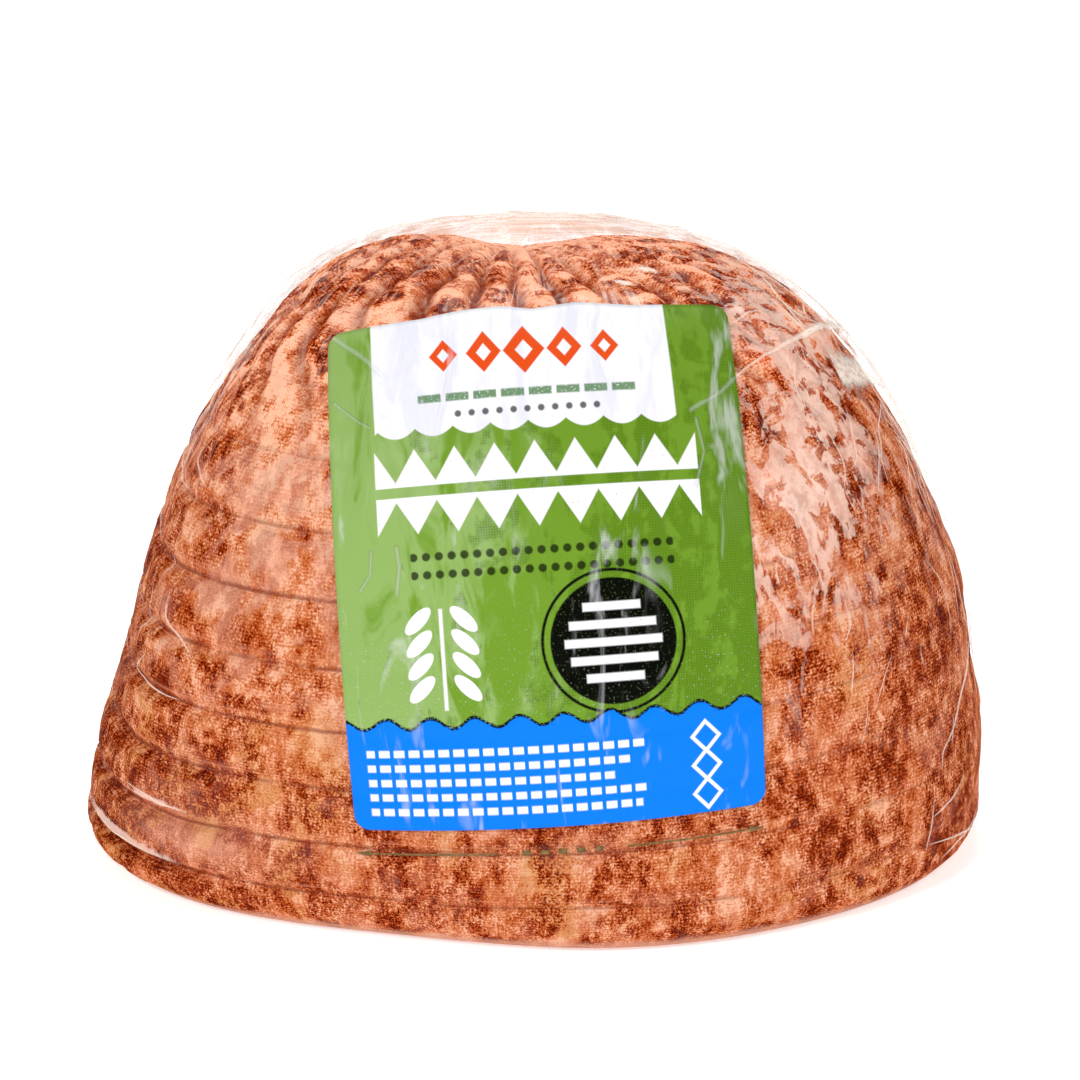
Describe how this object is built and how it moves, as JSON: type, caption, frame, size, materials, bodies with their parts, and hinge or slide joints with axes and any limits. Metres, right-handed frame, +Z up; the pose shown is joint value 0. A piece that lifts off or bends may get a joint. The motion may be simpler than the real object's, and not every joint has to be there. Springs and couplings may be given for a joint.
{
  "type": "sealed half ham",
  "caption": "Half of a boneless smoked ham with netting marks and a gathered top, cut flat, sealed in clear film with a printed label on its front.",
  "frame": {"origin": "centre of the bounding box's base, on the flat cut face that the ham stands on", "axes": "+X to the ham's right as the label is faced, -Y out of the label's side, +Z up"},
  "size_m": [0.215, 0.1648, 0.1401],
  "materials": {
    "sealed_ham": "smoked ham under clear gloss film",
    "label": "green printed film, satin"
  },
  "bodies": {
    "root": {"sealed_ham": "sealed_ham", "label": "label"}
  },
  "joints": []
}
